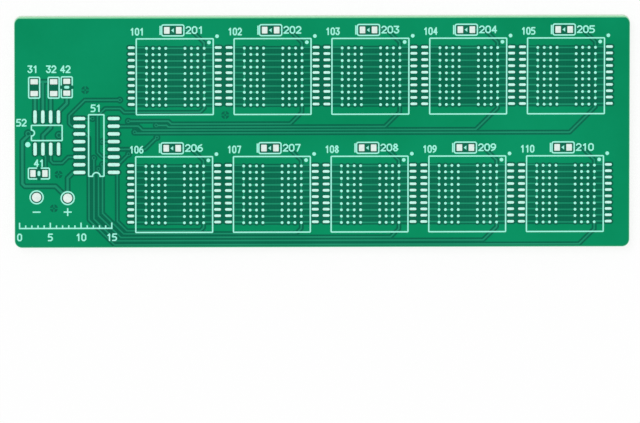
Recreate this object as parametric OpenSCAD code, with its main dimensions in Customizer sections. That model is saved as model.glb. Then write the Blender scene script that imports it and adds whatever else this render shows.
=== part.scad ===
// Bare circuit board for soldering practice: ten ball-grid chip sites in two rows, a sixteen-pin and an
// eight-pin chip site, four two-land sites, ten lamp sites and two round supply lands. No part is fitted.
// X runs along the board, Y across it and Z up through it. The origin is the middle of the underside.
// The layout is measured from the board's lower left corner, as a board designer measures it, and stands a
// little to the left of that place, as the routed outline allows.

/* [Board] */
// Length of the board
board_l = 100; // [98:1:130]
// Width of the board
board_w = 38; // [37.6:0.2:50]
// Thickness from the underside to the top of the coat
board_t = 1.6; // [0.8:0.1:3.2]
// Radius of the four corners
corner_r = 1.2; // [0.4:0.1:3]
// Bare border that the copper leaves along the edges
edge_gap = 0.25; // [0.15:0.05:0.35]
// How far the whole layout stands to the right of its true place in the routed outline
layout_shift = -0.11; // [-0.2:0.01:0.2]
// Strip along the far edge that the upper coat leaves bare
far_bare_w = 0.17; // [0.1:0.01:0.24]

/* [Layers] */
// Thickness of the copper foil
copper_t = 0.035; // [0.018:0.001:0.07]
// Thickness of the green coat over the copper
coat_t = 0.025; // [0.015:0.001:0.04]
// Thickness of the tin on the lands
tin_t = 0.03; // [0.02:0.001:0.05]
// Thickness of the printed ink
ink_t = 0.015; // [0.01:0.001:0.03]

/* [Copper] */
// Width of a signal track
track_w = 0.25; // [0.15:0.01:0.3]
// Width of a supply track
supply_w = 0.4; // [0.3:0.05:0.5]
// Clearance between the ground area and other copper
gap = 0.28; // [0.2:0.01:0.35]
// Diameter of the land round a small via
via_d = 0.6; // [0.5:0.05:0.7]
// Drilled diameter of a small via
via_hole = 0.3; // [0.2:0.05:0.4]
// Diameter of the land round a supply via
big_via_d = 0.9; // [0.8:0.05:1]
// Drilled diameter of a supply via
big_via_hole = 0.5; // [0.4:0.05:0.6]
// Thickness of the plating in a via
plating_t = 0.025; // [0.02:0.005:0.05]
// Clearance between a land and its opening in the coat
coat_gap = 0.05; // [0.03:0.01:0.08]
// The same clearance on lands for hand soldering
wide_coat_gap = 0.12; // [0.05:0.01:0.2]

/* [Chip sites] */
// Distance from one chip site to the next
chip_pitch = 15.89; // [15.8:0.01:16.2]
// First chip site, from the left edge
chip_x = 26.27; // [26:0.01:26.6]
// Upper row of chip sites, from the lower edge
upper_row_y = 28.19; // [28:0.01:28.4]
// Lower row of chip sites, from the lower edge
lower_row_y = 8.75; // [8.6:0.01:8.9]
// How far the lower row stands to the right of the upper row
lower_row_shift = -0.12; // [-0.4:0.01:0.4]
// Distance between neighbouring ball lands
ball_pitch = 1.04; // [0.8:0.01:1.06]
// Diameter of a ball land
ball_d = 0.45; // [0.36:0.01:0.54]
// Length of a side land
side_land_l = 1.12; // [0.9:0.01:1.2]
// Width of a side land
side_land_w = 0.42; // [0.36:0.01:0.54]
// Distance of the side lands from the middle of the site
side_land_reach = 7.06; // [7.02:0.01:7.12]
// How far the side lands sit above their row of balls
side_land_rise = 0.12; // [0:0.01:0.16]
// Side of the printed square
chip_outline = 12.5; // [12.2:0.05:12.6]

/* [Lamp sites] */
// Height of a lamp site above the middle of its chip site
lamp_up = 7.64; // [7.58:0.01:7.7]
// Distance between the two lamp lands
lamp_pitch = 1.95; // [1.85:0.05:2]
// Length of a lamp land along the board
lamp_land_l = 0.9; // [0.8:0.05:1.05]
// Width of a lamp land across the board
lamp_land_w = 1.1; // [0.9:0.05:1.2]

/* [Pinned chip sites] */
// Distance between neighbouring pins
pin_pitch = 1.27; // [1.2:0.01:1.3]
// Width of a pin land
pin_land_w = 0.56; // [0.46:0.01:0.7]
// Length of a land of the sixteen-pin site
long_land_l = 1.96; // [1.8:0.01:2.16]
// Length of a land of the eight-pin site
short_land_l = 2.15; // [1.95:0.01:2.3]

/* [Two-land sites] */
// Distance between the two lands of a resistor or capacitor
two_land_pitch = 1.95; // [1.9:0.01:2.05]
// Length of such a land along the part
two_land_l = 0.85; // [0.75:0.01:1]
// Width of a resistor land
resistor_land_w = 1.2; // [1:0.01:1.35]
// Width of a capacitor land
capacitor_land_w = 1.12; // [1:0.01:1.35]
// Diameter of a supply land
supply_land_d = 1.5; // [1.3:0.1:1.7]

/* [Print] */
// Width of the printed lines
ink_w = 0.22; // [0.15:0.01:0.28]
// Diameter of the small printed dots
ink_dot_d = 0.6; // [0.4:0.05:0.65]
// Height of the printed numbers
number_h = 1.05; // [0.9:0.05:1.1]

/* [Hidden] */
$fn = 48;
COLS = 5;
CHIPS = [for (i = [0:9]) i];
BALL_COLS = [0, 1, 2, 3, 6, 7, 8, 9];
BALL_ROWS = [for (r = [0:9]) r];

// Levels of the layers, from the underside up
core_z = coat_t + copper_t;
foil_z = board_t - coat_t - copper_t;
coat_z = board_t - coat_t;
core_t = foil_z - core_z;

// Middle of each chip site, and places in its grid of balls, with row 0 at the top
function chip_at(i) = [
    chip_x + (i % COLS) * chip_pitch + (i < COLS ? 0 : lower_row_shift),
    i < COLS ? upper_row_y : lower_row_y
];
function ball_at(i, c, r) = chip_at(i) + [c - 4.5, 4.5 - r] * ball_pitch;

// The printed square and the side lands share a middle just left of the balls
body_shift = -0.1;
function side_at(i, side, r) = [
    chip_at(i).x + body_shift + side * side_land_reach,
    ball_at(i, 0, r).y + side_land_rise
];

// Dots at a chip site's first corner, inside and outside the printed square
CHIP_DOTS = [[5.46, 5.64], [6.77, 6.66]];

// Middle of each lamp site, its lands (the first on the left) and its print
lamp_shift = -0.41;
function lamp_at(i) = chip_at(i) + [lamp_shift, lamp_up];
function lamp_land_at(i, k) = lamp_at(i) + [(k - 0.5) * lamp_pitch, 0];
lamp_outline = [3.6, 1.8];
lamp_bar = 1.5;

// Sixteen-pin site: pins 0 to 7 down the left, 8 to 15 down the right. Its lands stand a little to the
// right of its frame.
long_chip = [13.4, 16.88];
long_reach = 2.795;
long_shift = 0.045;
long_outline = [2.5, 10.17];
function long_pin(side, n) = long_chip + [side * long_reach + long_shift, (3.5 - n) * pin_pitch];

// Eight-pin site: four lands above and four below
short_chip = [5.36, 18.97];
short_reach = 2.66;
short_outline = [5, 2.52];
short_dot = [-3.09, -1.92];
short_dot_d = 0.85;
function short_pin(side, n) = short_chip + [(n - 1.5) * pin_pitch, side * short_reach];

// Two-land sites: middle, turn, land width and whether it is for a capacitor
RESISTOR_1 = [[3.33, 26.44], 90, resistor_land_w, false];
RESISTOR_2 = [[6.5, 26.43], 90, resistor_land_w, false];
CAPACITOR_1 = [[4.07, 12.28], 0, capacitor_land_w, true];
CAPACITOR_2 = [[8.62, 26.5], 90, capacitor_land_w, true];
TWO_LAND = [RESISTOR_1, RESISTOR_2, CAPACITOR_1, CAPACITOR_2];
two_land_outline = [3.42, 1.78];
function two_land_at(site, side) =
    site[0] + side * two_land_pitch / 2 * [cos(site[1]), sin(site[1])];

// Round lands for the supply
ground_land_at = [3.68, 8.35];
supply_land_at = [8.73, 8.2];
supply_ring_gap = 0.2;

// Vias, each named by where its track comes from or goes to
far_left_via = [17.25, 24.37];
bus_1_via = [18.6, 20.87];
bus_2_via = [23.15, 20.17];
bus_4_via = [19.65, 19.05];
upper_hop_via = [23.25, 18.17];
lower_hop_via = [18.65, 15.43];
low_2_via = [14.4, 13.75];
low_3_via = [13.75, 13.02];
low_4_via = [13, 14.8];
first_pin_via = [12.8, long_pin(-1, 0).y];
fourth_pin_via = [14.35, long_pin(1, 3).y];
VIAS = [
    far_left_via, bus_1_via, bus_2_via, bus_4_via, upper_hop_via, lower_hop_via,
    low_2_via, low_3_via, low_4_via, first_pin_via, fourth_pin_via
];

// Vias of the supply, and vias tied to the ground area
supply_via = [2.35, 18.85];
BIG_VIAS = [supply_via, [7.35, 18.6]];
GROUND_VIAS = [[11.62, 26.03], [7.26, 12.11], [6.49, 6.51], [34.36, 21.86]];
relief_d = 1.3;
relief_land_d = 0.52;
relief_spoke_w = 0.18;

// Stretches beside the tracks that are too narrow for the ground area to reach into: centre, size
NARROWS = [
    [[4.23, 25.9], [0.1, 2.3]],
    [[9.53, 21], [0.3, 1.8]],
    [[11.6, 15.475], [0.5, 5.55]],
    [[15.02, 12.97], [0.5, 1.95]],
    [[19.855, 19.48], [1.21, 0.4]],
    [[19.28, 20.46], [2.36, 0.1]],
    [[5.53, 14.7], [0.2, 1.1]],
];

// End of a bus track: it leaves its level at 45 degrees and goes straight up the last part to a ball
function climb(ball, level, drop) = [
    [ball.x - (ball.y - drop - level), level],
    [ball.x, ball.y - drop],
    ball
];

// The upper bus: four tracks that step down to their level, run right and climb to the last ball of
// the upper sites 2 to 5
BUS_FROM = [bus_1_via, bus_2_via, long_pin(1, 1), bus_4_via];
BUS_STEP_X = [25.13, 24.83, 20.25, 19.75];
BUS_Y = [20.4, 19.9, 19.4, 18.9];
BUS_DROP = [1.2, 1.2, 0.6, 0.45];
function upper_bus(k) = let (from = BUS_FROM[k], x = BUS_STEP_X[k], y = BUS_Y[k])
    concat([from, [x, from.y], [x + from.y - y, y]], climb(ball_at(k + 1, 9, 9), y, BUS_DROP[k]));

// The lower bus: five tracks that come down from the sixteen-pin site, turn at 45 degrees and run
// right under the lower sites
LOW_FROM = [long_pin(1, 7) + [0.56, 0], low_2_via, low_3_via, low_4_via, long_pin(-1, 2) + [0.87, 0]];
LOW_X = [LOW_FROM[0].x, low_2_via.x, low_3_via.x, low_4_via.x, 12.2];
LOW_KNEE = [4.35, 5.7, 5.3, 4.75, 4.6];
LOW_Y = [2.78, 2.28, 1.68, 1.13, 0.45];
LOW_DROP = [0.8, 0.95, 1.05, 0.75, 1.15];
function lower_bus(k) = let (x = LOW_X[k], from = LOW_FROM[k], knee = LOW_KNEE[k], y = LOW_Y[k])
    concat(
        [from, [x, from.y - x + from.x], [x, knee], [x + knee - y, y]],
        climb(ball_at(COLS + k, 9, 9), y, LOW_DROP[k])
    );

// A lamp's track leaves the first row of its chip site and runs left to the lamp's right land
lamp_stub = 0.9;
function lamp_track(i) = let (b = ball_at(i, 9, 0), l = lamp_land_at(i, 1)) [
    b,
    [b.x, b.y + lamp_stub],
    [b.x - (l.y - b.y - lamp_stub), l.y],
    l
];

// Track that leaves a pin along the board and turns up at 45 degrees to a via
function hop(pin, via) = [pin, [via.x - (via.y - pin.y), pin.y], via];

// The first chip site's track: down from its last ball, left, and down to the sixteen-pin site
function first_track(ball, pin) = [
    ball, [ball.x, 23], [ball.x - 0.68, 22.32], [17.95, 22.32], [17.3, 22.97], [14.85, 22.97],
    [13.6, 21.72], [13.6, pin.y + 0.75], [14.35, pin.y], pin
];
function far_left_track(pin, via) = [
    pin, [9.45, pin.y], [9, pin.y + 0.45], [9, via.y - 2.54], [11.54, via.y], via
];
function between_chips_track(long, short) = [
    long, [8.85, long.y], [7.87, long.y - 0.98], [6.35, long.y - 0.98], [short.x, long.y - 0.58], short
];
function filter_track(pin, land) = [pin, [pin.x, 15.5], [land.x + 0.1, 15.05], land + [0.1, 0]];
SINGLE_TRACKS = [
    first_track(ball_at(0, 9, 9), long_pin(1, 5)),
    hop(long_pin(1, 4), upper_hop_via),
    hop(long_pin(1, 6), lower_hop_via),
    [long_pin(1, 3), fourth_pin_via],
    [long_pin(-1, 0), first_pin_via],
    far_left_track(long_pin(-1, 1), far_left_via),
    between_chips_track(long_pin(-1, 5), short_pin(-1, 2)),
    filter_track(short_pin(-1, 1), two_land_at(CAPACITOR_1, 1))
];

// Wide tracks of the supply and of the eight-pin site
function supply_feed(land, via) = [
    land, [land.x - 1.97, land.y + 1.97], [1.8, land.y + 1.97], [1.38, land.y + 2.39],
    [1.38, via.y - 1.25], [via.x, via.y - 0.28], via
];
function supply_drop(pin, land) = [pin, [land.x + 0.92, pin.y], [land.x, pin.y - 0.92], land];
function timing_track(pin, land) = [pin, [pin.x, land.y - 3.05], [land.x, land.y - 1.68], land];
function cross_track(top, foot) = [top, [top.x, 19.85], [foot.x, 18.58], foot];
WIDE_TRACKS = [
    supply_drop(long_pin(-1, 7), supply_land_at),
    supply_feed(supply_land_at, supply_via),
    [short_pin(1, 0), [short_pin(1, 0).x, two_land_at(RESISTOR_1, -1).y]],
    [short_pin(1, 1), [short_pin(1, 1).x, two_land_at(RESISTOR_1, 1).y]],
    [two_land_at(RESISTOR_1, 1), two_land_at(RESISTOR_2, 1)],
    [short_pin(1, 2), [short_pin(1, 2).x, two_land_at(RESISTOR_2, -1).y]],
    timing_track(short_pin(1, 3), two_land_at(CAPACITOR_2, -1)),
    cross_track(short_pin(1, 2), short_pin(-1, 1))
];

// Width of a numeral and distance to the next: at chip sites, at lamp sites and elsewhere
chip_numeral = [0.5, 0.78];
lamp_numeral = [0.7, 1];
site_numeral = [0.6, 0.88];

// Places of the first numeral's lower left corner
chip_number_at = [-7.25, 6.9];
lamp_number_at = [2.18, -0.48];
SITE_NUMBERS = [
    [31, [2.35, 28.95]], [32, [5.35, 28.95]], [42, [7.65, 28.95]],
    [41, [3.35, 13.45]], [52, [0.5, 20.15]], [51, [12.6, 22.5]]
];

// Minus and plus marks under the supply lands, and a scale in millimetres along the lower edge
sign_y = 5.9;
sign_l = 1.3;
scale_at = [0.9, 3.2];
scale_l = 15;
scale_step = 5;
tick_l = 0.5;
long_tick_l = 0.95;
scale_number_y = 1.2;

// Strokes of the numerals 0 to 9 in a cell one wide and one high
SIX = [
    [0.85, 1], [0.25, 0.8], [0, 0.5], [0, 0.2], [0.3, 0], [0.7, 0], [1, 0.2], [1, 0.4], [0.7, 0.58], [0, 0.5]
];
NUMERALS = [
    [[0.3, 0], [0.7, 0], [1, 0.2], [1, 0.8], [0.7, 1], [0.3, 1], [0, 0.8], [0, 0.2], [0.3, 0]],
    [[0.2, 0.78], [0.6, 1], [0.6, 0]],
    [[0, 0.8], [0.3, 1], [0.7, 1], [1, 0.8], [1, 0.6], [0, 0], [1, 0]],
    [[0, 1], [1, 1], [0.5, 0.58], [1, 0.4], [1, 0.2], [0.7, 0], [0.3, 0], [0, 0.2]],
    [[0.75, 0], [0.75, 1], [0, 0.3], [1, 0.3]],
    [[1, 1], [0.1, 1], [0, 0.58], [0.7, 0.58], [1, 0.4], [1, 0.2], [0.7, 0], [0, 0]],
    SIX,
    [[0, 1], [1, 1], [0.4, 0]],
    [[0.5, 0.54], [0.1, 0.75], [0.3, 1], [0.7, 1], [0.9, 0.75], [0.5, 0.54], [1, 0.25], [0.7, 0], [0.3, 0],
     [0, 0.25], [0.5, 0.54]],
    [for (p = SIX) [1, 1] - p]
];

// ---- shapes in the plane ----

// Rectangle with round corners, centred
module plate_2d(size, r) {
    square([size.x - 2 * r, size.y], center = true);
    square([size.x, size.y - 2 * r], center = true);
    for (x = [-1, 1], y = [-1, 1])
        translate([x * (size.x / 2 - r), y * (size.y / 2 - r)]) circle(r);
}

// Straight stroke between two points
module bar_2d(a, b, w) {
    d = b - a;
    translate(a) rotate(atan2(d.y, d.x)) translate([0, -w / 2]) square([norm(d), w]);
}

// Line of a given width through a list of points, with round ends and corners. A point may be given twice.
module line_2d(points, w) {
    for (k = [1:len(points) - 1]) if (points[k] != points[k - 1]) bar_2d(points[k - 1], points[k], w);
    for (p = points) translate(p) circle(d = w);
}

// Land with round ends along X
module slot_2d(l, w) {
    line_2d([[-(l - w) / 2, 0], [(l - w) / 2, 0]], w);
}

// Printed frame: its middle line has the given size
module frame_2d(size, r) {
    difference() {
        plate_2d(size + [ink_w, ink_w], r + ink_w / 2);
        plate_2d(size - [ink_w, ink_w], r - ink_w / 2);
    }
}

// Everything in the layout is measured from the lower left corner
module from_corner() {
    translate([-board_l / 2 + layout_shift, -board_w / 2]) children();
}

module layer(z, t) {
    translate([0, 0, z]) linear_extrude(t) children();
}

// ---- lands, each as an outline grown by a margin ----

module ball_lands_2d(i, grow = 0) {
    for (c = BALL_COLS, r = BALL_ROWS) translate(ball_at(i, c, r)) circle(d = ball_d + 2 * grow);
}

module side_lands_2d(i, grow = 0) {
    for (side = [-1, 1], r = BALL_ROWS)
        translate(side_at(i, side, r)) slot_2d(side_land_l + 2 * grow, side_land_w + 2 * grow);
}

module lamp_lands_2d(i, grow = 0) {
    for (k = [0, 1])
        translate(lamp_land_at(i, k))
            square([lamp_land_l + 2 * grow, lamp_land_w + 2 * grow], center = true);
}

module long_lands_2d(grow = 0) {
    for (side = [-1, 1], n = [0:7])
        translate(long_pin(side, n)) slot_2d(long_land_l + 2 * grow, pin_land_w + 2 * grow);
}

module short_lands_2d(grow = 0) {
    for (side = [-1, 1], n = [0:3])
        translate(short_pin(side, n)) rotate(90) slot_2d(short_land_l + 2 * grow, pin_land_w + 2 * grow);
}

module two_lands_2d(site, grow = 0) {
    translate(site[0]) rotate(site[1]) for (side = [-1, 1])
        translate([side * two_land_pitch / 2, 0])
            square([two_land_l + 2 * grow, site[2] + 2 * grow], center = true);
}

module supply_land_2d(at, grow = 0) {
    translate(at) circle(d = supply_land_d + 2 * grow);
}

// ---- copper ----

// Links that chain the balls of a site: side land to column 0, 1 to 2, 3 to 6, 7 to 8 and 9 to side land,
// with pairs of rows joined down the two outer columns
module chain_2d(i) {
    for (r = BALL_ROWS) {
        for (c = [[1, 2], [3, 6], [7, 8]]) bar_2d(ball_at(i, c[0], r), ball_at(i, c[1], r), track_w);
        for (side = [[-1, 0], [1, 9]]) {
            s = side_at(i, side[0], r);
            bar_2d([ball_at(i, side[1], r).x, s.y], s, track_w);
        }
    }
    for (r = [0:2:8]) bar_2d(ball_at(i, 0, r), ball_at(i, 0, r + 1), track_w);
    for (r = [1:2:7]) bar_2d(ball_at(i, 9, r), ball_at(i, 9, r + 1), track_w);
}

module signal_lines_2d(grow = 0) {
    w = track_w + 2 * grow;
    for (k = [0:3]) line_2d(upper_bus(k), w);
    for (k = [0:4]) line_2d(lower_bus(k), w);
    for (i = CHIPS) line_2d(lamp_track(i), w);
    for (t = SINGLE_TRACKS) line_2d(t, w);
    for (v = VIAS) translate(v) circle(d = via_d + 2 * grow);
}

module supply_lines_2d(grow = 0) {
    for (t = WIDE_TRACKS) line_2d(t, supply_w + 2 * grow);
    for (v = BIG_VIAS) translate(v) circle(d = big_via_d + 2 * grow);
}

module all_lands_2d() {
    for (i = CHIPS) {
        ball_lands_2d(i);
        side_lands_2d(i);
        lamp_lands_2d(i);
    }
    pinned_lands_2d();
}

module pinned_lands_2d() {
    long_lands_2d();
    short_lands_2d();
    for (site = TWO_LAND) two_lands_2d(site);
    supply_land_2d(ground_land_at);
    supply_land_2d(supply_land_at);
}

// Window in the ground area round a chip site, scalloped by the clearance of its outer lands
module chip_window_2d(i) {
    window_w = 2 * side_land_reach + side_land_l;
    window_h = 9 * ball_pitch + ball_d;
    translate(chip_at(i) + [body_shift, 0]) square([window_w, window_h + gap], center = true);
    for (c = BALL_COLS, r = [0, 9]) translate(ball_at(i, c, r)) circle(d = ball_d + 2 * gap);
    for (side = [-1, 1], r = BALL_ROWS)
        translate(side_at(i, side, r)) slot_2d(side_land_l + 2 * gap, side_land_w + 2 * gap);
}

// The strip between the side lands of two neighbouring sites
module between_sites_2d(i) {
    a = side_at(i, 1, 9);
    b = side_at(i + 1, -1, 0);
    translate([a.x, a.y - gap]) square([b.x - a.x, b.y - a.y + 2 * gap]);
}

module lamp_window_2d(i) {
    translate(lamp_at(i))
        square([lamp_pitch + lamp_land_l + 2 * gap, lamp_land_w + 2 * gap], center = true);
}

// A capacitor's window runs out to two points, through the breaks in its frame
module two_land_window_2d(site) {
    half_l = two_land_outline.y / 2 + ink_w + 0.05;
    shoulder = 0.75 * half_l;
    translate(site[0]) rotate(site[1]) {
        square([two_land_pitch + two_land_l + 2 * gap, site[2] + 2 * gap], center = true);
        if (site[3]) polygon([
            [-0.34, -shoulder], [-0.1, -half_l], [0.1, -half_l], [0.34, -shoulder],
            [0.34, shoulder], [0.1, half_l], [-0.1, half_l], [-0.34, shoulder]
        ]);
    }
}

// Four curved openings round a via that leave it tied to the ground area by a cross
module relief_2d() {
    difference() {
        circle(d = relief_d);
        circle(d = relief_land_d);
        square([relief_d + 1, relief_spoke_w], center = true);
        square([relief_spoke_w, relief_d + 1], center = true);
    }
}

module ground_area_2d() {
    difference() {
        translate([board_l / 2 - layout_shift, board_w / 2])
            plate_2d([board_l, board_w] - [2, 2] * edge_gap, corner_r - edge_gap);
        for (i = CHIPS) {
            chip_window_2d(i);
            lamp_window_2d(i);
        }
        for (row = [0, COLS], i = [0:COLS - 2]) between_sites_2d(row + i);
        signal_lines_2d(gap);
        supply_lines_2d(gap);
        long_lands_2d(gap);
        short_lands_2d(gap);
        for (side = [-1, 1])
            translate((long_pin(side, 0) + long_pin(side, 7)) / 2)
                square([long_land_l, 8 * pin_pitch - gap], center = true);
        for (side = [-1, 1])
            translate(short_chip + [0, side * short_reach])
                square([4 * pin_pitch - gap, short_land_l], center = true);
        for (place = NARROWS) translate(place[0]) square(place[1], center = true);
        line_2d([for (n = [2, 3]) (lower_bus(2)[n] + lower_bus(3)[n]) / 2], 0.4);
        for (site = TWO_LAND) two_land_window_2d(site);
        supply_land_2d(ground_land_at, gap);
        supply_land_2d(supply_land_at, gap);
        for (v = GROUND_VIAS) translate(v) relief_2d();
        via_holes_2d();
    }
}

// Signal copper without the lands, which are pieces of their own
module signal_copper_2d() {
    difference() {
        union() {
            for (i = CHIPS) chain_2d(i);
            signal_lines_2d();
        }
        all_lands_2d();
        via_holes_2d();
    }
}

module supply_copper_2d() {
    difference() {
        supply_lines_2d();
        pinned_lands_2d();
        via_holes_2d();
    }
}

// Drilled holes of the vias: the plated bore grown by a wall
module via_holes_2d(wall = plating_t) {
    for (v = concat(VIAS, GROUND_VIAS)) translate(v) circle(d = via_hole + 2 * wall);
    for (v = BIG_VIAS) translate(v) circle(d = big_via_hole + 2 * wall);
}

// ---- print ----

module chip_print_2d(i) {
    translate(chip_at(i) + [body_shift, 0]) frame_2d([chip_outline, chip_outline], ink_w / 2);
    for (dot = CHIP_DOTS) translate(chip_at(i) + dot) circle(d = ink_dot_d);
}

// Frame with a bar at its left, and a small arrow that points left between the lands
module lamp_print_2d() {
    bar_gap = 0.04;
    frame_2d(lamp_outline, 0.3);
    translate([-lamp_outline.x / 2 - ink_w - bar_gap, 0]) square([ink_w, lamp_bar], center = true);
    polygon([[-0.28, 0], [0.16, 0.36], [0.16, -0.36]]);
}

// Frame with a round notch in its lower side
module long_print_2d() {
    notch_d = 1.24;
    foot = [0, -long_outline.y / 2];
    difference() {
        frame_2d(long_outline, ink_w / 2);
        translate(foot) circle(d = notch_d);
    }
    translate(foot) difference() {
        circle(d = notch_d + ink_w);
        circle(d = notch_d - ink_w);
        translate([-notch_d, -2 * notch_d - ink_w / 2]) square(2 * notch_d);
    }
}

// Frame with a round notch in its left side, and a dot at the first pin
module short_print_2d() {
    notch_d = 1;
    foot = [-short_outline.x / 2, 0];
    difference() {
        frame_2d(short_outline, ink_w / 2);
        translate(foot) circle(d = notch_d);
    }
    translate(foot) difference() {
        circle(d = notch_d + ink_w);
        circle(d = notch_d - ink_w);
        translate([-2 * notch_d - ink_w / 2, -notch_d]) square(2 * notch_d);
    }
    translate(short_dot) circle(d = short_dot_d);
}

// Frame round a resistor; a capacitor's frame is broken at its middle, round a short bar
module two_land_print_2d(capacitor) {
    difference() {
        frame_2d(two_land_outline, 0.2);
        if (capacitor) square([0.6, two_land_outline.y + 1], center = true);
    }
    if (capacitor) rotate(90) slot_2d(0.84, 0.46);
}

// Number with its first numeral's lower left corner at the origin
module number_2d(n, numeral) {
    digits = str(n);
    for (k = [0:len(digits) - 1]) {
        strokes = NUMERALS[ord(digits[k]) - ord("0")];
        translate([k * numeral[1], 0])
            line_2d([for (p = strokes) [p.x * numeral[0], p.y * number_h]], ink_w);
    }
}

module number_print_2d() {
    for (i = CHIPS) {
        translate(chip_at(i) + chip_number_at) number_2d(101 + i, chip_numeral);
        translate(lamp_at(i) + lamp_number_at) number_2d(201 + i, lamp_numeral);
    }
    for (s = SITE_NUMBERS) translate(s[1]) number_2d(s[0], site_numeral);
    for (at = [ground_land_at, supply_land_at])
        translate([at.x, sign_y]) square([sign_l, ink_w], center = true);
    translate([supply_land_at.x, sign_y]) square([ink_w, sign_l], center = true);
}

module scale_2d() {
    translate(scale_at) {
        bar_2d([-ink_w / 2, 0], [scale_l + ink_w / 2, 0], ink_w);
        for (x = [0:scale_l]) bar_2d([x, 0], [x, x % scale_step == 0 ? long_tick_l : tick_l], ink_w);
    }
    for (x = [0:scale_step:scale_l]) {
        number_w = site_numeral[0] + (x > 9 ? site_numeral[1] : 0);
        translate([scale_at.x + x - number_w / 2, scale_number_y]) number_2d(x, site_numeral);
    }
}

module supply_print_2d() {
    difference() {
        circle(d = supply_land_d + 2 * supply_ring_gap + 2 * ink_w);
        circle(d = supply_land_d + 2 * supply_ring_gap);
    }
}

// ---- nodes ----

module laminate() {
    color("khaki") layer(core_z, core_t) difference() {
        plate_2d([board_l, board_w], corner_r);
        from_corner() via_holes_2d();
    }
}

// Plated barrels, from the lower foil to the upper foil; the coats close them at both ends
module via_barrels() {
    color("peru") layer(coat_t, coat_z - coat_t) from_corner() difference() {
        via_holes_2d();
        via_holes_2d(0);
    }
}

module ground_area() {
    color("seagreen") layer(foil_z, copper_t) from_corner() ground_area_2d();
}

module signal_tracks() {
    color("mediumseagreen") layer(foil_z, copper_t) from_corner() signal_copper_2d();
}

module supply_tracks() {
    color("mediumseagreen") layer(foil_z, copper_t) from_corner() supply_copper_2d();
}

module top_coat() {
    color("green") difference() {
        layer(coat_z, coat_t) difference() {
            plate_2d([board_l, board_w], corner_r);
            translate([0, board_w / 2]) square([board_l + 1, 2 * far_bare_w], center = true);
        }
        layer(coat_z - 1, coat_t + 2) from_corner() {
            for (i = CHIPS) {
                ball_lands_2d(i, coat_gap);
                side_lands_2d(i, coat_gap);
                lamp_lands_2d(i, wide_coat_gap);
            }
            long_lands_2d(coat_gap);
            short_lands_2d(coat_gap);
            for (site = TWO_LAND) two_lands_2d(site, wide_coat_gap);
            supply_land_2d(ground_land_at, wide_coat_gap);
            supply_land_2d(supply_land_at, wide_coat_gap);
        }
    }
}

module bottom_copper() {
    color("peru") layer(coat_t, copper_t) difference() {
        plate_2d([board_l, board_w] - [2, 2] * edge_gap, corner_r - edge_gap);
        from_corner() {
            for (v = VIAS) translate(v) circle(d = via_d + 2 * gap);
            via_holes_2d();
        }
    }
}

module bottom_coat() {
    color("green") layer(0, coat_t) plate_2d([board_l, board_w], corner_r);
}

// Tinned lands: copper from the same foil with tin over it
module lands() {
    color("white") layer(foil_z, copper_t + tin_t) from_corner() children();
}

module chip_lands(i) {
    lands() {
        ball_lands_2d(i);
        side_lands_2d(i);
    }
}

module lamp_lands(i) {
    lands() lamp_lands_2d(i);
}

module printed_outlines() {
    color("aquamarine") layer(board_t, ink_t) from_corner() {
        for (i = CHIPS) {
            chip_print_2d(i);
            translate(lamp_at(i)) lamp_print_2d();
        }
        translate(long_chip) long_print_2d();
        translate(short_chip) short_print_2d();
        for (site = TWO_LAND) translate(site[0]) rotate(site[1]) two_land_print_2d(site[3]);
        for (at = [ground_land_at, supply_land_at]) translate(at) supply_print_2d();
    }
}

module printed_numbers() {
    color("aquamarine") layer(board_t, ink_t) from_corner() {
        number_print_2d();
        scale_2d();
    }
}

laminate();
via_barrels();
ground_area();
signal_tracks();
supply_tracks();
top_coat();
bottom_copper();
bottom_coat();
printed_outlines();
printed_numbers();
for (i = CHIPS) {
    chip_lands(i);
    lamp_lands(i);
}
lands() long_lands_2d();  // sixteen_pin_lands
lands() short_lands_2d();  // eight_pin_lands
lands() two_lands_2d(RESISTOR_1);  // resistor_1_lands
lands() two_lands_2d(RESISTOR_2);  // resistor_2_lands
lands() two_lands_2d(CAPACITOR_1);  // capacitor_1_lands
lands() two_lands_2d(CAPACITOR_2);  // capacitor_2_lands
lands() supply_land_2d(ground_land_at);  // ground_land
lands() supply_land_2d(supply_land_at);  // supply_land
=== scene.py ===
"""Looks of a bare printed circuit board: its coats, tinned lands, ink, copper and laminate."""

import math

import bmesh
import bpy
from mathutils import Matrix, Vector


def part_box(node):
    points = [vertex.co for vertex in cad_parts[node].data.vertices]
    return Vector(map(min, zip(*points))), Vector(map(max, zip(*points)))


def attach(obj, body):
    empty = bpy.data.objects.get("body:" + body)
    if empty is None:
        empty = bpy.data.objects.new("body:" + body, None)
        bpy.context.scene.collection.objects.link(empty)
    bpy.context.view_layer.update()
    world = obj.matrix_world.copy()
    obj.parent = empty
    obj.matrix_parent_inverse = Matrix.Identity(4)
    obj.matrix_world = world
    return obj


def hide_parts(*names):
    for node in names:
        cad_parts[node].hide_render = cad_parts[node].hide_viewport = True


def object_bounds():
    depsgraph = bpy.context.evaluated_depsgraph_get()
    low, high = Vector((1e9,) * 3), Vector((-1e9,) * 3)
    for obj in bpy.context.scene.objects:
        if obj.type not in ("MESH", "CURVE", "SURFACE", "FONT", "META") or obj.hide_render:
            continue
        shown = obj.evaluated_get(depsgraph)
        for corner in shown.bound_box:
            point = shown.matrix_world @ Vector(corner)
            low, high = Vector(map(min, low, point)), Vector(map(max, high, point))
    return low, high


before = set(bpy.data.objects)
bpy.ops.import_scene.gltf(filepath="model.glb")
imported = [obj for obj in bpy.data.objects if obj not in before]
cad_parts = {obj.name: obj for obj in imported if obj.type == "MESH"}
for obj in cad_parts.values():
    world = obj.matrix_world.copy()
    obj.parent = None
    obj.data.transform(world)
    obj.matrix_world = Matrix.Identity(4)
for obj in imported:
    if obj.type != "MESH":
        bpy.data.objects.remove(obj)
cad_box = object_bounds()

MM = 0.001

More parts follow.
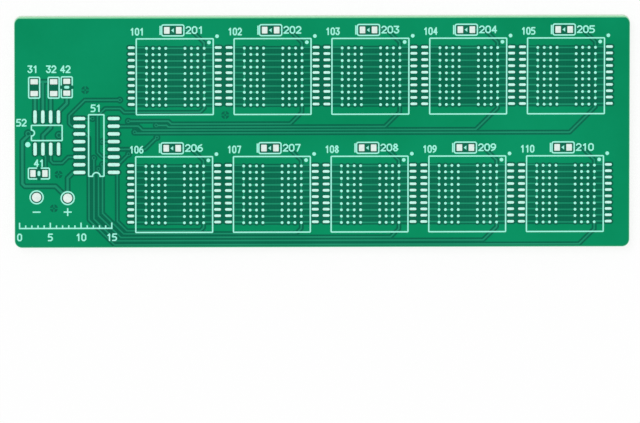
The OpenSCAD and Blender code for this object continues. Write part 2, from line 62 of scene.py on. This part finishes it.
# Heights over the underside, and other lengths, in metres
COPPER_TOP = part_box("ground_area")[1].z
COAT_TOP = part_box("top_coat")[1].z
BOTTOM_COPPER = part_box("bottom_copper")[0].z
COAT_STEP = 0.012 * MM  # how much lower the coat lies where there is no copper under it
COAT_LAP = 0.004 * MM  # how far the coat over copper sinks into the coat round it
BORDER = cad_box[1].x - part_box("ground_area")[1].x  # along the edges, without copper
CORNER = 1.2 * MM  # radius of the board's corners
HIGHLIGHT_RIM = 0.08 * MM  # how far in from the routed edges the coat carries a painted highlight
FAR_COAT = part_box("top_coat")[1].y  # beyond this the far edge is bare laminate
CROWN = 0.012 * MM  # how far the middle of a land stands above its rim
SLOPE = 0.14  # width of the tin's slope, as a share of the land's width
EASED = 0.08 * MM  # corner of a rectangular land
ROUND_STEPS = 22  # sides of a whole round end
BOX_CORNERS = 8  # a land with more corners than a box is round-ended
BALL_LAND = 0.6 * MM  # a land no longer than this is a ball land
SAME_POINT = 0.0001 * MM  # corners of a CAD mesh that lie closer than this are one
TURN = 0.01 * MM  # over what distance one finish turns into another


# ---- finishes ----


def paint(red, green, blue):
    """A colour given as on a colour card, 0 to 255, as the shader takes it."""

    def linear(step):
        share = step / 255
        return share / 12.92 if share <= 0.04045 else ((share + 0.055) / 1.055) ** 2.4

    return (linear(red), linear(green), linear(blue), 1.0)


class Finish:
    """A material under construction: its shader, its nodes and the piece's own coordinates."""

    def __init__(self, name, **constant):
        self.material = bpy.data.materials.new(name)
        self.material.use_nodes = True
        self.tree = self.material.node_tree
        self.shader = self.tree.nodes["Principled BSDF"]
        self.place = self.node("TexCoord").outputs["Object"]
        for socket, value in constant.items():
            self.shader.inputs[socket.replace("_", " ")].default_value = value

    def node(self, kind, **settings):
        node = self.tree.nodes.new("ShaderNode" + kind)
        for setting, value in settings.items():
            setattr(node, setting, value)
        return node

    def link(self, source, target):
        self.tree.links.new(source, target)

    def stretched(self, scale):
        """The piece's coordinates, squeezed so that a pattern on them is drawn out."""
        node = self.node("Mapping")
        node.inputs["Scale"].default_value = scale
        self.link(self.place, node.inputs["Vector"])
        return node.outputs["Vector"]

    def cloud(self, size, detail=2.0, place=None):
        """Soft patches, about size metres across, from 0 to 1."""
        node = self.node("TexNoise")
        node.inputs["Scale"].default_value = 1 / size
        node.inputs["Detail"].default_value = detail
        self.link(place or self.place, node.inputs["Vector"])
        return node.outputs["Fac"]

    def bands(self, direction, pitch, distortion=0.0, wobble=0.0):
        """Smooth parallel bands across one direction, pitch metres apart, from 0 to 1."""
        node = self.node("TexWave", wave_type="BANDS", bands_direction=direction)
        node.inputs["Scale"].default_value = math.pi / (10 * pitch)
        node.inputs["Distortion"].default_value = distortion
        node.inputs["Detail Scale"].default_value = wobble
        self.link(self.place, node.inputs["Vector"])
        return node.outputs["Fac"]

    def ranged(self, value, low, high, source=(0.0, 1.0)):
        """A value taken from the source range to low and high, and held there."""
        node = self.node("MapRange", interpolation_type="SMOOTHSTEP")
        for socket, number in zip(
            ("From Min", "From Max", "To Min", "To Max"), (*source, low, high)
        ):
            node.inputs[socket].default_value = number
        self.link(value, node.inputs["Value"])
        return node.outputs["Result"]

    def sum(self, first, second, share=1.0):
        """first plus a share of second."""
        node = self.node("Math", operation="MULTIPLY_ADD")
        node.inputs[1].default_value = share
        self.link(second, node.inputs[0])
        self.link(first, node.inputs[2])
        return node.outputs["Value"]

    def math(self, operation, *values):
        """The outcome of that operation on numbers or node outputs."""
        node = self.node("Math", operation=operation)
        for socket, value in zip(node.inputs, values):
            if isinstance(value, (int, float)):
                socket.default_value = value
            else:
                self.link(value, socket)
        return node.outputs["Value"]

    def cloth(self):
        """The weave of the glass cloth, whose threads lie closer one way than the other."""
        return self.sum(self.bands("X", 0.5 * MM), self.bands("Y", 0.42 * MM))

    def axes(self):
        """The three coordinates, apart."""
        node = self.node("SeparateXYZ")
        self.link(self.place, node.inputs["Vector"])
        return node.outputs

    def past(self, axis, level, over=TURN):
        """0 below a level of one coordinate, 1 more than over beyond it."""
        return self.ranged(self.axes()[axis], 0.0, 1.0, source=(level, level + over))

    def at_border(self, width, corner):
        """0 inside the board, 1 within that width of its edges, round corners included."""
        x, y, _ = self.axes()
        beyond = [
            self.math("SUBTRACT", self.math("ABSOLUTE", along), edge - corner)
            for along, edge in ((x, cad_box[1].x), (y, cad_box[1].y))
        ]
        inner = self.math("MINIMUM", self.math("MAXIMUM", *beyond), 0.0)
        squares = [self.math("POWER", self.math("MAXIMUM", far, 0.0), 2.0) for far in beyond]
        outer = self.math("SQRT", self.math("ADD", *squares))
        reach = self.math("ADD", inner, outer)
        limits = (corner - 1.1 * width, corner - 0.9 * width)
        return self.ranged(reach, 0.0, 1.0, source=limits)

    def mixed(self, factor, first, second):
        """Colours first and second mixed by a factor. Each is a colour or a node's output."""
        node = self.node("Mix", data_type="RGBA")
        self.link(factor, node.inputs["Factor"])
        for socket, colour in ((node.inputs[6], first), (node.inputs[7], second)):
            if isinstance(colour, tuple):
                socket.default_value = colour
            else:
                self.link(colour, socket)
        return node.outputs[2]

    def coloured(self, colour):
        self.link(colour, self.shader.inputs["Base Color"])

    def rough(self, value):
        self.link(value, self.shader.inputs["Roughness"])

    def raised(self, height, depth, strength=1.0):
        """Bump of that height pattern, depth metres from lowest to highest."""
        node = self.node("Bump")
        node.inputs["Strength"].default_value = strength
        node.inputs["Distance"].default_value = depth
        self.link(height, node.inputs["Height"])
        self.link(node.outputs["Normal"], self.shader.inputs["Normal"])


def coat_finish(name, deep, bright, weave=0.0, border=None, rim_highlight=None):
    """Green solder-resist lacquer. Weave is how far the glass cloth shows through, border is
    the colour beyond the copper, lightened along the edges as painted light through the
    laminate, and rim_highlight the colour of a painted highlight along the routed edges."""
    finish = Finish(name, IOR=1.5, Specular_IOR_Level=0.04)
    patches = finish.cloud(22 * MM, detail=3)
    mottle = finish.cloud(0.9 * MM)
    shade = finish.sum(finish.ranged(patches, 0.0, 0.8, source=(0.3, 0.7)), mottle, 0.25)
    colour = finish.mixed(shade, paint(*deep), paint(*bright))
    peel = finish.cloud(0.35 * MM)
    if weave:
        cloth = finish.cloth()
        darker = tuple(round(0.9 * step) for step in deep)
        colour = finish.mixed(
            finish.ranged(cloth, 0.0, weave, source=(0.4, 1.8)), colour, paint(*darker)
        )
        peel = finish.sum(peel, cloth, 0.4)
    # painted light: beyond the copper the coat is lighter along the edges, as if lit through the
    # laminate's edge
    if border:
        colour = finish.mixed(finish.at_border(BORDER, CORNER), colour, paint(*border))
    # painted highlight: a pale mint rim along the routed edges and the coat's far edge, for
    # light glinting off the coat's rounded edge
    if rim_highlight:
        far = finish.past("Y", FAR_COAT - 0.6 * HIGHLIGHT_RIM, over=0.2 * HIGHLIGHT_RIM)
        rim = finish.math("MAXIMUM", far, finish.at_border(HIGHLIGHT_RIM, CORNER))
        colour = finish.mixed(rim, colour, paint(*rim_highlight))
    finish.coloured(colour)
    finish.rough(finish.ranged(mottle, 0.32, 0.46))
    finish.raised(peel, 0.004 * MM, strength=0.5)
    return finish.material


def laminate_finish():
    """Glass cloth in pale resin: plies along the cut edge, and a face under the coat painted
    dark green as the shade in the coat's openings.
    """
    finish = Finish("glass_laminate", IOR=1.5, Specular_IOR_Level=0.3)
    plies = finish.bands("Z", 0.19 * MM, distortion=2.5, wobble=300.0)
    fibres = finish.cloud(0.25 * MM, detail=4, place=finish.stretched((0.25, 0.25, 1.0)))
    layered = finish.ranged(finish.sum(plies, fibres, 1.2), 0.0, 1.0, source=(0.4, 1.8))
    lower = finish.mixed(layered, paint(190, 214, 186), paint(222, 236, 216))
    upper = finish.mixed(layered, paint(160, 218, 176), paint(192, 232, 202))
    edge = finish.mixed(finish.past("Z", 0.35 * MM, over=1.1 * MM), lower, upper)
    # painted shade: the face, seen only in the narrow openings of the coat round the lands, is a
    # dark green standing for their shade
    cloth = finish.cloth()
    face = finish.mixed(
        finish.ranged(cloth, 0.0, 1.0, source=(0.2, 1.8)),
        paint(18, 94, 70),
        paint(36, 114, 88),
    )
    bare = finish.mixed(fibres, paint(128, 210, 158), paint(154, 228, 180))
    face = finish.mixed(finish.past("Y", FAR_COAT - 2 * TURN), face, bare)
    finish.coloured(finish.mixed(finish.past("Z", COPPER_TOP - 6 * TURN), edge, face))
    finish.rough(finish.ranged(fibres, 0.55, 0.8))
    finish.raised(finish.sum(plies, fibres, 1.0), 0.01 * MM, strength=0.6)
    return finish.material


def copper_finish():
    """Bare copper foil, rolled and a little tarnished."""
    finish = Finish("foil_copper", Metallic=1.0)
    tarnish = finish.cloud(3 * MM, detail=4)
    rolled = finish.cloud(0.2 * MM, place=finish.stretched((0.05, 1.0, 1.0)))
    finish.coloured(
        finish.mixed(
            finish.ranged(tarnish, 0.0, 1.0, source=(0.35, 0.7)),
            paint(216, 142, 108),
            paint(178, 104, 76),
        )
    )
    finish.rough(finish.ranged(rolled, 0.3, 0.5))
    finish.raised(rolled, 0.002 * MM)
    return finish.material


def tin_finish(name, bright, dull):
    """Hot tinned lands: bright and soft, a little duller in patches."""
    finish = Finish(name, Metallic=0.55)
    patches = finish.cloud(0.5 * MM, detail=2)
    ripple = finish.cloud(0.16 * MM, detail=3)
    finish.coloured(
        finish.mixed(
            finish.ranged(patches, 0.0, 1.0, source=(0.35, 0.65)),
            paint(*bright),
            paint(*dull),
        )
    )
    finish.rough(finish.ranged(ripple, 0.26, 0.42))
    finish.raised(finish.sum(patches, ripple, 0.5), 0.006 * MM, strength=0.7)
    return finish.material


def ink_finish():
    """Screen-printed epoxy ink: pale, matt and slightly open."""
    finish = Finish("screen_ink", IOR=1.5, Specular_IOR_Level=0.2)
    cover = finish.cloud(0.12 * MM, detail=3)
    patches = finish.cloud(6 * MM)
    finish.coloured(
        finish.mixed(
            finish.sum(finish.ranged(cover, 0.0, 0.7, source=(0.4, 0.75)), patches, 0.3),
            paint(172, 252, 234),
            paint(142, 238, 212),
        )
    )
    finish.rough(finish.ranged(cover, 0.5, 0.7))
    finish.raised(cover, 0.004 * MM, strength=0.6)
    return finish.material


def seen_directly(tree):
    """1 for what the camera sees, straight, in a gloss or through glass, and 0 for lighting."""
    rays = tree.nodes.new("ShaderNodeLightPath")
    seen = rays.outputs["Is Camera Ray"]
    for other in ("Is Glossy Ray", "Is Transmission Ray"):
        either = tree.nodes.new("ShaderNodeMath")
        either.operation = "MAXIMUM"
        tree.links.new(seen, either.inputs[0])
        tree.links.new(rays.outputs[other], either.inputs[1])
        seen = either.outputs["Value"]
    return seen


def floor_finish(glow):
    """Plain pale paper. Glow is the share of plain white in how it is seen."""
    finish = Finish("studio_paper", Roughness=0.9, Specular_IOR_Level=0.0)
    finish.coloured(
        finish.mixed(finish.cloud(0.4), paint(254, 254, 254), paint(252, 252, 252))
    )
    white = finish.node("Emission")
    mix = finish.node("MixShader")
    finish.link(
        finish.math("MULTIPLY", seen_directly(finish.tree), glow), mix.inputs["Fac"]
    )
    finish.link(finish.shader.outputs["BSDF"], mix.inputs[1])
    finish.link(white.outputs["Emission"], mix.inputs[2])
    finish.link(mix.outputs["Shader"], finish.tree.nodes["Material Output"].inputs["Surface"])
    return finish.material


# ---- pieces ----


def piece(name, bm, materials, slot, *stands_for, flat=True):
    """Makes the finished mesh a piece of the board, standing for those CAD nodes."""
    mesh = bpy.data.meshes.new(name)
    bm.to_mesh(mesh)
    bm.free()
    if "custom_normal" in mesh.attributes:  # brought along from a CAD mesh
        mesh.attributes.remove(mesh.attributes["custom_normal"])
    for material in materials:
        mesh.materials.append(material)
    if flat:
        mesh.shade_flat()
    else:
        mesh.shade_smooth()
        mesh.set_sharp_from_angle(angle=math.radians(35))
    made = bpy.data.objects.new(name, mesh)
    bpy.context.scene.collection.objects.link(made)
    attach(made, "root")
    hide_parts(*stands_for)


def merged(node):
    """The joined-up mesh of a CAD node, to be shaped into a new piece."""
    bm = bmesh.new()
    bm.from_mesh(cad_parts[node].data)
    bmesh.ops.remove_doubles(bm, verts=bm.verts, dist=SAME_POINT)
    return bm


def levelled(bm, low, high):
    """Sets the lower and the upper face of a flat layer to two heights."""
    heights = [v.co.z for v in bm.verts]
    middle = (min(heights) + max(heights)) / 2
    for v in bm.verts:
        v.co.z = high if v.co.z > middle else low
    return bm


def top_coats(over_laminate, over_ground, over_tracks):
    """The lacquer of the upper face: a lower sheet over all, and a raised one on each foil."""
    low = COAT_TOP - COAT_STEP
    piece(
        "coat_between_foils",
        levelled(merged("top_coat"), COPPER_TOP, low),
        [over_laminate],
        "green_coat",
        "top_coat",
    )
    for foil, finish in (
        ("ground_area", over_ground),
        ("signal_tracks", over_tracks),
        ("supply_tracks", over_tracks),
    ):
        made = levelled(merged(foil), low - COAT_LAP, COAT_TOP)
        piece("coat_on_" + foil, made, [finish], "green_coat")


def bottom_coats(over_laminate, over_copper):
    """The lacquer of the underside, which follows the copper there in the same way."""
    piece(
        "bottom_coat_sheet",
        levelled(merged("bottom_coat"), COAT_STEP, BOTTOM_COPPER),
        [over_laminate],
        "green_coat",
        "bottom_coat",
    )
    piece(
        "coat_on_bottom_copper",
        levelled(merged("bottom_copper"), 0.0, COAT_STEP + COAT_LAP),
        [over_copper],
        "green_coat",
    )


def lands_of(node):
    """The lowest and highest corner of each separate land of a node, and whether it is round."""
    bm = merged(node)
    boxes = []
    for start in bm.verts:
        if start.tag:
            continue
        start.tag = True
        reached = [start]
        for v in reached:
            for edge in v.link_edges:
                other = edge.other_vert(v)
                if not other.tag:
                    other.tag = True
                    reached.append(other)
        boxes.append(
            (
                Vector([min(v.co[k] for v in reached) for k in range(3)]),
                Vector([max(v.co[k] for v in reached) for k in range(3)]),
                len(reached) > BOX_CORNERS,
            )
        )
    bm.free()
    return boxes


def land_outline(bm, long, short, rounded):
    """Draws a flat face along X, with round ends or with eased corners."""
    if rounded:
        made = bmesh.ops.create_circle(
            bm, cap_ends=True, cap_tris=False, segments=ROUND_STEPS, radius=short / 2
        )
        for side in (-1, 1):
            end = [v for v in made["verts"] if v.co.x * side > 0]
            bmesh.ops.translate(bm, verts=end, vec=((long - short) / 2 * side, 0, 0))
        return
    made = bmesh.ops.create_grid(bm, x_segments=1, y_segments=1, size=0.5)
    bmesh.ops.scale(bm, verts=made["verts"], vec=(long, short, 1))
    bmesh.ops.bevel(
        bm,
        geom=made["verts"],
        affect="VERTICES",
        offset=EASED,
        segments=3,
        profile=0.5,
        material=-1,
    )


def drawn_up(bm, faces, rise):
    """Extrudes faces upwards by rise and gives back the new ones and their corners."""
    made = bmesh.ops.extrude_face_region(bm, geom=faces)["geom"]
    corners = [g for g in made if isinstance(g, bmesh.types.BMVert)]
    bmesh.ops.translate(bm, verts=corners, vec=(0, 0, rise))
    return [g for g in made if isinstance(g, bmesh.types.BMFace)], corners


def tinned_land(low, high, rounded):
    """One land with its skin of tin: an upright rim, a slope and a flat crown."""
    bm = bmesh.new()
    size = high - low
    long, short = max(size.x, size.y), min(size.x, size.y)
    land_outline(bm, long, short, rounded)
    shoulder, _ = drawn_up(bm, list(bm.faces), size.z - CROWN)
    _, corners = drawn_up(bm, shoulder, CROWN)
    bmesh.ops.delete(bm, geom=shoulder, context="FACES_ONLY")
    slope = SLOPE * short
    bmesh.ops.scale(
        bm, verts=corners, vec=(1 - 2 * slope / long, 1 - 2 * slope / short, 1)
    )
    bmesh.ops.recalc_face_normals(bm, faces=bm.faces)
    if size.y > size.x:
        bmesh.ops.rotate(
            bm, verts=bm.verts, matrix=Matrix.Rotation(math.pi / 2, 3, "Z"), cent=(0, 0, 0)
        )
    bmesh.ops.translate(
        bm, verts=bm.verts, vec=((low.x + high.x) / 2, (low.y + high.y) / 2, low.z)
    )
    for face in bm.faces:
        face.material_index = 0 if long > BALL_LAND else 1
    mesh = bpy.data.meshes.new("land")
    bm.to_mesh(mesh)
    bm.free()
    return mesh


def tinned_lands(node, *tins):
    """All lands of one site, with their crowns, in one piece. Ball lands take the second tin."""
    bm = bmesh.new()
    for low, high, rounded in lands_of(node):
        land = tinned_land(low, high, rounded)
        bm.from_mesh(land)
        bpy.data.meshes.remove(land)
    name = node.replace("_land", "_tinned_land")
    piece(name, bm, tins, "tin", node, flat=False)


def finished(nodes, material):
    """Gives CAD nodes that keep their shape a finish."""
    for node in nodes:
        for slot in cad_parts[node].material_slots:
            slot.material = material


over_laminate = coat_finish(
    "coat_on_laminate",
    (2, 102, 74),
    (10, 110, 82),
    weave=0.3,
    # lighter: painted light coming through the laminate's edge
    border=(24, 140, 93),
    # painted highlight along the routed edges
    rim_highlight=(104, 204, 164),
)
over_ground = coat_finish("coat_on_ground", (0, 135, 88), (4, 147, 100))
over_tracks = coat_finish("coat_on_tracks", (18, 135, 98), (32, 148, 111))
top_coats(over_laminate, over_ground, over_tracks)
bottom_coats(over_laminate, over_ground)
wide_tin = tin_finish("wide_tin", (230, 243, 237), (220, 234, 228))
pin_tin = tin_finish("pin_tin", (203, 251, 239), (190, 244, 228))
ball_tin = tin_finish("ball_tin", (170, 252, 232), (158, 245, 222))
for node in sorted(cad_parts):
    if node.startswith("chip_"):
        tinned_lands(node, pin_tin, ball_tin)
    elif node.endswith("pin_lands"):
        tinned_lands(node, pin_tin)
    elif node.endswith(("_lands", "_land")):
        tinned_lands(node, wide_tin)
finished(["laminate"], laminate_finish())
finished(
    ["ground_area", "signal_tracks", "supply_tracks", "bottom_copper", "via_barrels"],
    copper_finish(),
)
finished(["printed_outlines", "printed_numbers"], ink_finish())


# ---- studio ----


FLOOR_RADIUS = 4.0
FLOOR_GAP = 0.05 * MM  # how far the floor stays below the underside
CAMERA_LENS = 1008  # focal length in millimetres, over a sensor 36 mm wide
CAMERA_PLACE = (-0.04526, 0.50308, 2.87018)
CAMERA_TURN = (-10.2, -0.89444, 0.01484)  # degrees about X, Y and Z, from straight down


def studio_floor(glow):
    """A plain round sheet of paper under the board."""
    bm = bmesh.new()
    bmesh.ops.create_circle(bm, cap_ends=True, segments=64, radius=FLOOR_RADIUS)
    mesh = bpy.data.meshes.new("studio_floor")
    bm.to_mesh(mesh)
    bm.free()
    mesh.materials.append(floor_finish(glow))
    floor = bpy.data.objects.new("studio_floor", mesh)
    floor.location.z = -FLOOR_GAP
    bpy.context.scene.collection.objects.link(floor)


def soft_sky(light):
    """An even white surround. What is seen of it, straight or in a gloss, is plain white."""
    world = bpy.data.worlds.new("soft_sky")
    bpy.context.scene.world = world
    world.use_nodes = True
    tree = world.node_tree
    tree.nodes.clear()
    out = tree.nodes.new("ShaderNodeOutputWorld")
    seen, lit = (tree.nodes.new("ShaderNodeBackground") for _ in range(2))
    lit.inputs["Strength"].default_value = light
    for shade in (seen, lit):
        shade.inputs["Color"].default_value = (1, 1, 1, 1)
    mix = tree.nodes.new("ShaderNodeMixShader")
    tree.links.new(seen_directly(tree), mix.inputs["Fac"])
    tree.links.new(lit.outputs["Background"], mix.inputs[1])
    tree.links.new(seen.outputs["Background"], mix.inputs[2])
    tree.links.new(mix.outputs["Shader"], out.inputs["Surface"])


def lamp(name, strength, tilt, turn, softness):
    """A far lamp that shines from tilt degrees off the vertical, turned round the board."""
    data = bpy.data.lights.new(name, "SUN")
    data.energy = strength
    data.angle = math.radians(softness)
    made = bpy.data.objects.new(name, data)
    made.rotation_euler = (math.radians(tilt), 0, math.radians(turn))
    bpy.context.scene.collection.objects.link(made)


def camera():
    """A long lens almost square to the board, from a little beyond its far edge."""
    data = bpy.data.cameras.new("camera")
    data.sensor_width = 36
    data.lens = CAMERA_LENS
    data.clip_end = 50
    made = bpy.data.objects.new("camera", data)
    made.location = CAMERA_PLACE
    made.rotation_euler = [math.radians(turn) for turn in CAMERA_TURN]
    bpy.context.scene.collection.objects.link(made)
    bpy.context.scene.camera = made


studio_floor(glow=0.78)
soft_sky(light=0.8)
lamp("key_lamp", 0.75, tilt=38, turn=215, softness=30)
camera()
bpy.context.scene.view_settings.view_transform = "Standard"
